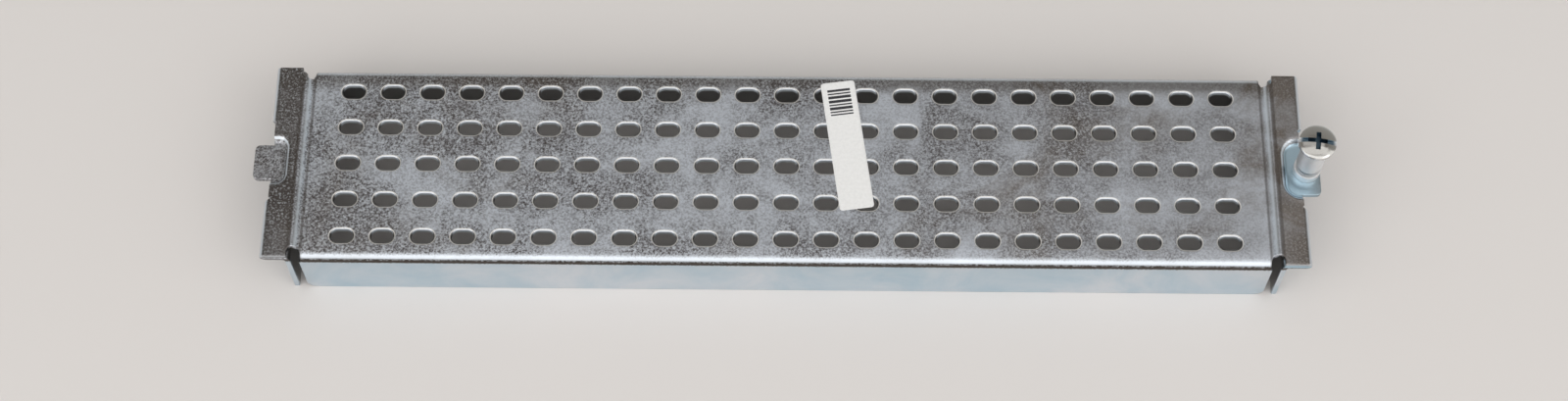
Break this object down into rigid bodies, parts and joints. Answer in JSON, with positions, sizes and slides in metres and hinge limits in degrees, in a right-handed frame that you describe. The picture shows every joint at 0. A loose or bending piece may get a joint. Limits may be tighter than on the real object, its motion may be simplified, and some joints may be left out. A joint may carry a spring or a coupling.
{
  "type": "slot blank cover",
  "caption": "Folded perforated steel blank cover for an unused equipment slot, with joggled hemmed ears, a hook tongue at one end and a captive screw at the other.",
  "frame": {"origin": "centre of the open rear rim of the tray, on the plane the part rests on", "axes": "+X along the panel from the hook to the captive screw, +Y across it, +Z out of the perforated face"},
  "size_m": [0.2045, 0.0402, 0.0265],
  "materials": {
    "zinc_sheet": "zinc-plated sheet steel, faintly mottled, satin",
    "plated_steel": "bright nickel-plated turned steel",
    "spring_steel": "dark spring steel",
    "label_paper": "white paper sticker"
  },
  "bodies": {
    "panel": {"cover_panel": "zinc_sheet", "screw_ferrule": "plated_steel", "label": "label_paper"},
    "screw_float": {"retaining_ring": "spring_steel"},
    "screw": {"captive_screw": "plated_steel"}
  },
  "joints": [
    {"name": "screw_slide", "type": "slide", "parent": "panel", "child": "screw_float", "axis": [0, 0, 1], "range_m": [0, 0.0035]},
    {"name": "screw_turn", "type": "hinge", "parent": "screw_float", "child": "screw", "pos_m": [0.0992, 0, 0.0133], "axis": [0, 0, 1], "continuous": true}
  ]
}
